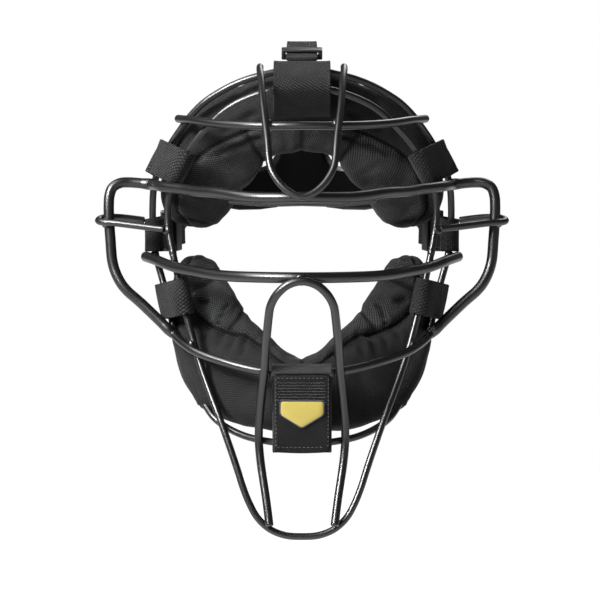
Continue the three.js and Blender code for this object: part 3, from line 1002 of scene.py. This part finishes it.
def from_fold(line, side, run, across, stations, width):
    """Distance of every grid point from a fold, stretched near the fold's ends so that it fades."""
    places = np.array([p[0] * side for p in line])
    flat = np.stack([np.interp(places, stations, run),
                     np.interp(places, stations, width) * [p[1] for p in line]], axis=1)
    grid = np.stack([np.broadcast_to(run[:, None], across.shape), across], axis=2)
    nearest = np.full(across.shape, 1.0)
    for a, b in zip(flat, flat[1:]):
        along = b - a
        reach = np.clip(((grid - a) @ along) / (along @ along), 0, 1)
        nearest = np.minimum(nearest, np.linalg.norm(grid - a - reach[..., None] * along, axis=2))
    to_end = np.minimum(np.linalg.norm(grid - flat[0], axis=2),
                        np.linalg.norm(grid - flat[-1], axis=2))
    return nearest * (1 + 1.2 * smooth_bell(to_end, 3 * MM))


def shape_pad(pad, points, offsets, stations):
    """Sinks the seams and folds, lets the panels swell, and puckers the cloth beside the seams. Also
    gives the painted shade for the seam creases and fold valleys.
    """
    first, second, third = PAD_COLUMNS
    columns = first + second + third
    run = run_along(points.mean(axis=1))
    run -= np.interp(0, stations, run)
    off = offsets[:, :-1]
    total = offsets[:, -1:] - offsets[:, :1]
    to_main = np.abs(off)
    to_rim = np.minimum(np.abs(off - off[:, :1]), np.abs(off - off[:, :1] - total))
    to_lining = np.abs(off - off[:, first + second:first + second + 1])
    front = np.arange(columns) < first + second
    inner = (np.arange(columns) >= first) & front
    cross = np.full(points.shape[:2], 1.0)
    for s in pad["cross_seams"] + [pad["end_seam"]]:
        for side in (-1, 1):
            distance = np.abs(run - np.interp(side * s, stations, run))[:, None]
            cross = np.minimum(cross, np.where(inner[None], distance, 1.0))
    nearest = np.minimum.reduce([to_main, to_rim, to_lining, cross])
    sink = (SEAM_SINK * smooth_bell(to_main, SEAM_WIDTH)
            + EDGE_SINK * smooth_bell(to_rim, EDGE_WIDTH)
            + EDGE_SINK * smooth_bell(to_lining, EDGE_WIDTH)
            + CROSS_SINK * smooth_bell(cross, CROSS_WIDTH))
    swell = SWELL * (1 - np.exp(-nearest / SWELL_REACH))
    seam_share = np.interp(np.abs(stations), range(len(pad["seam"])), pad["seam"])
    width = np.linalg.norm(points[:, 0] - points[:, first + second], axis=1)
    share = seam_share[:, None] + off / width[:, None]
    fold = np.zeros(points.shape[:2])
    for line in pad["folds"]:
        for side in (-1, 1):
            apart = from_fold(line, side, run, share * width[:, None], stations, width)
            ridge = smooth_bell(apart - 4.2 * MM, 2.4 * MM)
            crease = smooth_bell(apart, FOLD_WIDTH) - 0.45 * ridge
            fold += FOLD_DEPTH * crease * front[None]
    pucker = np.zeros(points.shape[:2])
    for r in range(points.shape[0]):
        for c in range(columns):
            near = math.exp(-min(to_main[r, c], cross[r, c]) / (6.5 * MM))
            edge = math.exp(-min(to_rim[r, c], to_lining[r, c]) / (5 * MM))
            place = Vector((run[r] / (5 * MM), off[r, c] / (14 * MM), 3.1 * (c >= first)))
            slow = noise.noise(Vector(points[r, c]) * 38)
            pucker[r, c] = ((1.5 * near + 0.25 * edge) * noise.noise(place) + 0.5 * slow) * MM
    fade = np.clip((1 - np.abs(stations) / stations[-1]) / 0.06, 0, 1)[:, None]
    shift = (swell - sink - fold) * (0.35 + 0.65 * fade) + pucker * fade
    lining = np.arange(columns) > first + second
    shift = np.where(lining[None], np.minimum(shift, 0) - LINING_BACK, shift)
    # painted shade: darkest in the main seam's crease, less at the edge and cross seams and folds
    shade = np.maximum.reduce([smooth_bell(to_main, 0.9 * MM), 0.8 * smooth_bell(to_rim, 1.2 * MM),
                               0.8 * smooth_bell(to_lining, 1.2 * MM),
                               0.7 * smooth_bell(cross, 0.9 * MM),
                               0.5 * np.clip(fold / (1.5 * MM), 0, 1)])
    return points + grid_normals(points) * shift[..., None], shade


def sleeve(pad, points, normals):
    """Lifts the cover over the rim where the pad is sewn round it."""
    if "sleeve" not in pad:
        return points
    node, low, high = pad["sleeve"]
    rim, radius = centrelines[node]
    inside = rim[(rim[:, 2] > low - 8 * MM) & (rim[:, 2] < high + 8 * MM)]
    result = points.copy()
    for i, point in enumerate(points):
        apart = point - inside
        nearest = int(np.argmin(np.linalg.norm(apart, axis=1)))
        if np.linalg.norm(apart[nearest]) > 9 * MM or normals[i][1] > 0.5:
            continue
        wall = radius + 1.5 * MM
        height = float(np.dot(apart[nearest], normals[i]))
        lateral = math.sqrt(max(0.0, float(np.dot(apart[nearest], apart[nearest])) - height ** 2))
        share = np.clip((inside[nearest][2] - low) / (6 * MM) + 1, 0, 1)
        share = share * np.clip((high - inside[nearest][2]) / (6 * MM) + 1, 0, 1)
        needed = wall - lateral ** 2 / (16 * MM)
        if needed > height > -6 * MM:
            result[i] = point + normals[i] * (needed - height) * share
    return result


def inflate(piece, pins, rest):
    """Blender's cloth blows the sewn cover up between its seams. The result is capped and kept."""
    group = piece.vertex_groups.new(name="seams")
    for index, weight in pins:
        group.add([index], weight, "REPLACE")
    modifier = piece.modifiers.new("inflate", "CLOTH")
    for setting, value in CLOTH.items():
        setattr(modifier.settings, setting, value)
    modifier.settings.vertex_group_mass = "seams"
    modifier.settings.effector_weights.gravity = 0
    modifier.collision_settings.use_collision = False
    modifier.point_cache.frame_start = 1
    modifier.point_cache.frame_end = CLOTH_STEPS
    scene = bpy.context.scene
    for step in range(1, CLOTH_STEPS + 1):
        scene.frame_set(step)
    evaluated = piece.evaluated_get(bpy.context.evaluated_depsgraph_get())
    moved = np.array([v.co for v in evaluated.data.vertices], float)
    piece.modifiers.remove(modifier)
    piece.vertex_groups.remove(group)
    scene.frame_set(1)
    shift = moved - rest
    size = np.linalg.norm(shift, axis=1, keepdims=True)
    return rest + shift * np.minimum(1, PUFF_CAP / np.maximum(size, 1e-9))


def press(points, normals, obstacles):
    """Dents the front of a pad where wires in front of it bear on it."""
    places = np.vstack([p for p, _ in obstacles])
    radii = np.concatenate([np.full(len(p), r) for p, r in obstacles])
    tree = KDTree(len(places))
    for i, place in enumerate(places):
        tree.insert((place[0], 0, place[2]), i)
    tree.balance()
    result = points.copy()
    for i, point in enumerate(points):
        if normals[i][1] > 0.35:
            continue
        floor = -1.0
        for _, index, lateral in tree.find_range((point[0], 0, point[2]), 8 * MM):
            radius = radii[index]
            if places[index][1] > point[1] + 16 * MM or lateral > radius + PRESS_SKIRT:
                continue
            if lateral < radius:
                rise = math.sqrt(radius * radius - lateral * lateral)
            else:
                rise = -((lateral - radius) / PRESS_SKIRT) ** 2 * 8 * MM
            floor = max(floor, places[index][1] + rise + 0.3 * MM)
        if point[1] < floor < point[1] + PRESS_DEPTH:
            result[i][1] = floor
    return result


def pad_faces(shaped, offsets):
    """The cover's faces, their UVs in metres, and which of its three cloths each is cut from."""
    rings, columns = shaped.shape[:2]
    first, second, third = PAD_COLUMNS
    zones = [0] * first + [1] * second + [2] * third
    middles = [first // 2, first + second // 2, first + second + third // 2]
    lengths = []
    for column in middles:
        along = run_along(shaped[:, column])
        lengths.append(along - along[rings // 2])
    faces, uvs, looks = [], [], []
    for r in range(rings - 1):
        for c in range(columns):
            d = (c + 1) % columns
            faces.append((r * columns + c, r * columns + d, (r + 1) * columns + d,
                          (r + 1) * columns + c))
            along = lengths[zones[c]]
            uvs += [(along[r], offsets[r, c]), (along[r], offsets[r, c + 1]),
                    (along[r + 1], offsets[r + 1, c + 1]), (along[r + 1], offsets[r + 1, c])]
            looks.append(zones[c])
    for ring, end, flip in ((0, rings * columns, 1), (rings - 1, rings * columns + 1, -1)):
        for c in range(columns):
            d = (c + 1) % columns
            triangle = (ring * columns + d, ring * columns + c, end)
            faces.append(triangle[::flip])
            uvs += [(lengths[0][ring], offsets[ring, c])] * 3
            looks.append(zones[c])
    return faces, uvs, looks


def seam_pins(pad, vertices, stations, tabs):
    """The points where the cloth is sewn or held down, each with how firmly it is held."""
    first, second, third = PAD_COLUMNS
    rings, columns = len(stations), first + second + third
    seam_rings = {int(np.argmin(np.abs(stations - s * side)))
                  for s in pad["cross_seams"] + [pad["end_seam"]] for side in (-1, 1)}
    under = hold_down(vertices, tabs)
    pins = []
    for r in range(rings):
        for c in range(columns):
            index = r * columns + c
            on_seam = c in (0, first, first + second)
            on_seam = on_seam or (r in seam_rings and first <= c <= first + second)
            if on_seam or r in (0, rings - 1) or c > first + second:
                pins.append((index, 1.0))
            elif under[index] > 0:
                pins.append((index, float(under[index])))
    return pins + [(rings * columns, 1.0), (rings * columns + 1, 1.0)]


def build_pad(pad, cloths, threads, tabs, obstacles):
    """One sewn pad: shaped, blown up by the simulation, pressed by what bears on it, stitched."""
    points, offsets, stations = pad_grid(pad)
    shaped, shade = shape_pad(pad, points, offsets, stations)
    rings, columns = shaped.shape[:2]
    first, second = PAD_COLUMNS[:2]
    vertices = list(shaped.reshape(-1, 3))
    for ring in (0, rings - 1):
        vertices.append(shaped[ring].mean(axis=0))
    faces, uvs, looks = pad_faces(shaped, offsets)
    piece = new_piece(pad["name"] + "_cloth", vertices, faces, cloths["mesh"])
    piece.data.materials.append(cloths["mesh_slanted"])
    piece.data.materials.append(cloths["lining"])
    piece.data.polygons.foreach_set("material_index", looks)
    layer = piece.data.uv_layers.new(name="UVMap")
    layer.data.foreach_set("uv", np.array(uvs, float).ravel())
    # painted shade for the seam creases and fold valleys, read by the cloth materials
    shading = piece.data.attributes.new("seam_shade", "FLOAT", "POINT")
    shading.data.foreach_set("value", np.append(shade.ravel(), [0.0, 0.0]))
    crease_seams(piece, columns, rings, (0, first, first + second))
    recalc_normals(piece)
    rest = np.array(vertices)
    placed = inflate(piece, seam_pins(pad, rest, stations, tabs), rest)
    piece.data.vertices.foreach_set("co", placed.ravel())
    piece.data.update()
    finish_pad(pad, piece, obstacles)
    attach(piece, "root")
    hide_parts(pad["name"] + "_cover", pad["name"] + "_foam")
    sew_pad(pad, piece, shaped, stations, threads)


def crease_seams(piece, columns, rings, seams):
    """Keeps the sewn lines sharp when the cloth is subdivided."""
    creases = piece.data.attributes.new("crease_edge", "FLOAT", "EDGE")
    for edge in piece.data.edges:
        a, b = edge.vertices
        if max(a, b) < rings * columns and a % columns == b % columns and a % columns in seams:
            creases.data[edge.index].value = 1.0


def hold_down(vertices, tabs):
    """1 under a tab, falling to 0 away from it, so that the cloth doesn't swell through it."""
    held = np.zeros(len(vertices))
    for frames in tabs.values():
        for point, wide in zip(frames["points"], frames["wide"]):
            apart = vertices - point
            along = apart @ wide
            beside = np.maximum(0, np.abs(along) - frames["width"] / 2)
            clear = np.linalg.norm(apart - np.outer(along, wide), axis=1)
            distance = np.hypot(beside, clear)
            held = np.maximum(held, np.clip((9 * MM - distance) / (5 * MM), 0, 1))
    return held


def clear_adjusters(points):
    """Tucks a pad's back corners in, clear of the side adjusters wherever they slide."""
    result = points.copy()
    for node, side in (("side_slider_left", 1), ("side_slider_right", -1)):
        along = np.array([ADJUSTER_AXIS[0] * side, ADJUSTER_AXIS[1], ADJUSTER_AXIS[2]])
        inward = np.cross(along, (0, 0, 1)) * side
        inward /= np.linalg.norm(inward)
        across = np.cross(along, inward)
        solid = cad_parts[node]
        corners = np.array([solid.matrix_world @ v.co for v in solid.data.vertices], float)
        limit = (corners @ inward).max() + ADJUSTER_CLEAR
        start = (corners @ along).min() + ADJUSTER_SLIDE[0]
        stop = (corners @ along).max() + ADJUSTER_SLIDE[1]
        low, high = (corners @ across).min(), (corners @ across).max()
        travel, height = result @ along, result @ across
        beyond = np.maximum(np.maximum(start - travel, travel - stop),
                            np.maximum(low - height, height - high)) - 1.5 * MM
        share = np.clip(1 - beyond / (8 * MM), 0, 1)
        depth = limit - result @ inward
        near = (depth > 0) & (depth < 9 * MM)
        result += inward * (np.where(near, depth * share, 0))[:, None]
    return result


def finish_pad(pad, piece, obstacles):
    """Subdivides the cover once, then makes room for the wires and, without a sleeve, the adjusters.
    """
    smooth = piece.modifiers.new("smooth", "SUBSURF")
    smooth.levels = smooth.render_levels = 1
    bpy.context.view_layer.update()
    evaluated = piece.evaluated_get(bpy.context.evaluated_depsgraph_get())
    mesh = bpy.data.meshes.new_from_object(evaluated)
    old = piece.data
    piece.modifiers.clear()
    piece.data = mesh
    bpy.data.meshes.remove(old)
    points = np.array([v.co for v in mesh.vertices], float)
    normals = np.array([v.normal for v in mesh.vertices], float)
    points = sleeve(pad, press(points, normals, obstacles), normals)
    if "sleeve" not in pad:
        points = clear_adjusters(points)
    mesh.vertices.foreach_set("co", points.ravel())
    mesh.update()


def sew_pad(pad, piece, shaped, stations, threads):
    """A row of stitches on each side of the main seam, laid on the final cloth."""
    tree = BVHTree.FromPolygons([v.co for v in piece.data.vertices],
                                [p.vertices for p in piece.data.polygons])
    main_seam = PAD_COLUMNS[0]

    def row_beside(rings, column, shift):
        row = []
        for r in rings:
            a, b = shaped[r, column], shaped[r, column + (1 if shift > 0 else -1)]
            guess = a + unit(b - a) * abs(shift)
            place, normal, _, _ = tree.find_nearest(Vector(guess))
            row.append((np.array(place), np.array(normal)))
        return row

    limit = len(pad["stations"]) - 1.6
    for label, side in SIDES:
        chosen = [r for r, t in enumerate(stations) if 0.4 < side * t < limit]
        for name, shift in (("outer", -2.2 * MM), ("inner", 2.2 * MM)):
            row = row_beside(chosen, main_seam, shift)
            thread_row(f"{pad['name']}_stitches_{name}_{label}", row, threads["seam"], "root",
                       "pad_fabric", PAD_STITCH)


# ---- the harness -------------------------------------------------------------------------------

# The straps' back ends lap over the outside of the back plate and are sewn to it there. The top
# strap's end is given as (y, z), the side straps' as (degrees round from the back, radius, height).
PLATE_CENTRE_Y = 88
TOP_END = ((181.6, 82), (184.2, 77.8), (184.4, 73.5), (184.4, 69), (184.3, 64.5), (184.2, 61))
SIDE_END = ((42.3, 94.2, 33), (40.2, 96, 33.5), (38, 96.4, 33.9), (35, 96.3, 34.2),
            (32, 96.2, 34.4), (29.5, 96.2, 34.5))


def side_end(side):
    """A side strap's lapped end, in millimetres."""
    turns = [math.radians(degrees) for degrees, _, _ in SIDE_END]
    return [(side * radius * math.sin(turn), PLATE_CENTRE_Y + radius * math.cos(turn), height)
            for turn, (_, radius, height) in zip(turns, SIDE_END)]


def build_harness(cloths, threads):
    """The three elastic straps, swept again with their ends lapped over the back plate and sewn
    there.
    """
    starts = {"top_strap": (0, 0.075, 0.08)}
    tails = {"top_strap": [(0, y, z) for y, z in TOP_END]}
    for label, side in SIDES:
        starts[f"side_strap_{label}"] = (0, 0.086, 0)
        tails[f"side_strap_{label}"] = side_end(side)
    for node, start in starts.items():
        piece, frames = strap(f"{node}_elastic", node, cloths["elastic"], edge=1.15,
                              tail=tails[node])
        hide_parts(node)
        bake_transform(piece)
        outward = frames["points"][3] - np.array([0, PLATE_CENTRE_Y * MM, frames["points"][3][2]])
        face = 1 if np.dot(frames["out"][3], outward) > 0 else -1
        for place in (2.5 * MM, 5.5 * MM, 12 * MM):
            row = across_row(frames, place, 2 * MM, face)
            thread_row(f"{node}_end_seam_{round(place / MM)}", row, threads["dark"], "back_pad",
                       "harness_elastic", HARNESS_STITCH)


def refine_plastic(plastic, cloth):
    """Moulded nodes keep their CAD mesh and get rounded edges and a moulded finish."""
    for node in ("top_slider", "side_slider_left", "side_slider_right", "back_plate"):
        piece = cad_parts[node]
        piece.data.materials.clear()
        piece.data.materials.append(plastic)
        round_edges(piece, 0.7 * MM)
    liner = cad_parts["back_liner"]
    liner.data.materials.clear()
    liner.data.materials.append(cloth)
    round_edges(liner, 1.6 * MM)


def smooth_bends():
    """A node group that shades faces smoothly across every edge bent by less than 30 degrees."""
    group = bpy.data.node_groups.new("smooth_bends", "GeometryNodeTree")
    group.interface.new_socket("Geometry", in_out="INPUT", socket_type="NodeSocketGeometry")
    group.interface.new_socket("Geometry", in_out="OUTPUT", socket_type="NodeSocketGeometry")
    nodes, links = group.nodes, group.links
    entry, leave = nodes.new("NodeGroupInput"), nodes.new("NodeGroupOutput")
    faces = nodes.new("GeometryNodeSetShadeSmooth")
    edges = nodes.new("GeometryNodeSetShadeSmooth")
    edges.domain = "EDGE"
    edges.inputs["Shade Smooth"].default_value = False
    angle = nodes.new("GeometryNodeInputMeshEdgeAngle")
    sharp = nodes.new("FunctionNodeCompare")
    sharp.operation = "GREATER_THAN"
    sharp.inputs[1].default_value = math.radians(30)
    links.new(angle.outputs["Unsigned Angle"], sharp.inputs[0])
    links.new(entry.outputs[0], faces.inputs["Geometry"])
    links.new(faces.outputs[0], edges.inputs["Geometry"])
    links.new(sharp.outputs[0], edges.inputs["Selection"])
    links.new(edges.outputs[0], leave.inputs[0])
    return group


def round_edges(piece, width):
    """Rounds a CAD node's sharp edges and shades its gentle bends smoothly."""
    joined = piece.modifiers.new("joined", "WELD")
    joined.merge_threshold = 0.01 * MM
    modifier = piece.modifiers.new("rounded", "BEVEL")
    modifier.width = width
    modifier.segments = 3
    modifier.limit_method = "ANGLE"
    modifier.angle_limit = math.radians(35)
    modifier.harden_normals = False
    shading = piece.modifiers.new("smooth_bends", "NODES")
    shading.node_group = bpy.data.node_groups.get("smooth_bends") or smooth_bends()


# ---- stage and light ---------------------------------------------------------------------------

FLOOR_DROP = 0.6            # the mask is worn, so the floor lies well under it
FLOOR_RADIUS = 9.0
FLOOR_GLOW = (3.2, 4.5)     # the floor's glow brightens to white between these distances


def add_stage():
    """A wide pale floor that glows, dimmer near the mask and white far off, so that no horizon
    shows.
    """
    made, nodes, links, shader = material("glowing_studio_white", (0.9, 0.9, 0.9), 0.95,
                                          Specular_IOR_Level=0.0)
    # painted light: the floor glows, at strength 0.6 near the mask up to 1 far off
    shader.inputs["Emission Color"].default_value = (1, 1, 1, 1)
    place = nodes.new("ShaderNodeTexCoord")
    distance = nodes.new("ShaderNodeVectorMath")
    distance.operation = "LENGTH"
    links.new(place.outputs["Object"], distance.inputs[0])
    glow = nodes.new("ShaderNodeMapRange")
    glow.inputs["From Min"].default_value, glow.inputs["From Max"].default_value = FLOOR_GLOW
    glow.inputs["To Min"].default_value = 0.6
    links.new(distance.outputs["Value"], glow.inputs["Value"])
    links.new(glow.outputs["Result"], shader.inputs["Emission Strength"])
    height = CAD_BOX[0].z - FLOOR_DROP
    around = 64
    vertices = [(FLOOR_RADIUS * math.cos(2 * math.pi * i / around),
                 FLOOR_RADIUS * math.sin(2 * math.pi * i / around), 0) for i in range(around)]
    floor = new_piece("studio_floor", vertices, [tuple(range(around))], made)
    floor.location.z = height


def add_area(name, place, target, size, power, spread=180):
    data = bpy.data.lights.new(name, "AREA")
    data.shape = "RECTANGLE"
    data.size, data.size_y = size
    data.energy = power
    data.spread = math.radians(spread)
    light = bpy.data.objects.new(name, data)
    light.location = place
    light.rotation_euler = (Vector(target) - Vector(place)).to_track_quat("-Z", "Y").to_euler()
    bpy.context.scene.collection.objects.link(light)


WORLD_LIGHT = 0.12          # the white surround is seen, but gives little light of its own


def add_lights():
    """A white surround, soft lights from the upper left and one from behind."""
    world = bpy.data.worlds.new("studio")
    world.use_nodes = True
    nodes, links = world.node_tree.nodes, world.node_tree.links
    background = nodes["Background"]
    background.inputs["Color"].default_value = (1, 1, 1, 1)
    path = nodes.new("ShaderNodeLightPath")
    strength = mapped(nodes, links, path.outputs["Is Camera Ray"], WORLD_LIGHT, 1.0)
    links.new(strength, background.inputs["Strength"])
    bpy.context.scene.world = world
    bpy.context.scene.view_settings.view_transform = "Standard"
    add_area("key", (-0.95, -1.1, 0.8), (0, 0, 0), (0.8, 0.7), 36)
    add_area("streak", (-1.1, -1.0, 0.75), (-0.07, -0.03, 0.05), (0.4, 0.4), 2, spread=30)
    add_area("upper", (-0.9, -0.35, 1.15), (0, 0, 0.05), (1.1, 0.9), 18)
    add_area("back", (0.5, 1.5, 1.5), (0, 0.1, 0), (0.9, 0.9), 12)


# ---- everything --------------------------------------------------------------------------------

add_camera()
coat = powder_coat()
plastic = moulded_plastic()
cloths = {
    "mesh": woven("pad_mesh", (0.006, 0.006, 0.0063), (0.0165, 0.0167, 0.0172), 0.001, (60, -35),
                  0.00013, seams=True),
    "mesh_slanted": woven("pad_mesh_slanted", (0.003, 0.003, 0.0032), (0.042, 0.0426, 0.044),
                          0.00112, (28, -52), 0.0002, seams=True),
    "lining": woven("pad_lining", (0.005, 0.005, 0.0055), (0.012, 0.012, 0.0125), 0.0009,
                    (45, -45), 0.0001, seams=True),
    "liner": woven("back_liner_cloth", (0.001, 0.001, 0.001), (0.003, 0.003, 0.003), 0.0009,
                   (45, -45), 0.0001, sheen=0.0, shine=0.02),
    "twill": woven("tab_twill", (0.0005, 0.0005, 0.0006), (0.033, 0.0333, 0.034), 0.0014, (62, -28),
                   0.00025),
    "ribbed": woven("tab_ribbed", (0.003, 0.003, 0.0031), (0.031, 0.0313, 0.032), 0.0017, (35, -50),
                    0.00025),
    "loop": woven("tab_loop", (0.014, 0.014, 0.0145), (0.06, 0.06, 0.0615), 0.001, (45, -45),
                  0.0003),
    "flap": woven("flap_webbing", (0.004, 0.004, 0.0045), (0.014, 0.014, 0.0145), 0.0009,
                  (45, -45), 0.0002),
    "elastic": woven("harness_elastic_weave", (0.003, 0.003, 0.003), (0.010, 0.010, 0.0105),
                     0.0011, (90, 0), 0.0003),
}
threads = {
    "dark": twisted_thread("dark_thread", (0.005, 0.005, 0.005), (0.014, 0.014, 0.014)),
    "seam": twisted_thread("seam_thread", (0.004, 0.004, 0.004), (0.010, 0.010, 0.0105)),
    "grey": twisted_thread("grey_thread", (0.02, 0.02, 0.02), (0.09, 0.09, 0.09)),
    "navy": twisted_thread("navy_thread", (0.006, 0.007, 0.02), (0.014, 0.015, 0.04)),
    "satin": satin_thread(),
}
build_wires(coat)
build_joins(coat)
build_welds(coat)
tabs = build_tabs(cloths, threads)
build_flap(cloths, threads)
forehead_bars = [centrelines[node] for node in WIRES]
chin_bars = [centrelines[node] for node in WIRES if node != "rear_rim_lower"] + joins
build_pad(FOREHEAD, cloths, threads, tabs, forehead_bars)
build_pad(CHIN, cloths, threads, tabs, chin_bars)
build_harness(cloths, threads)
refine_plastic(plastic, cloths["liner"])
add_stage()
add_lights()
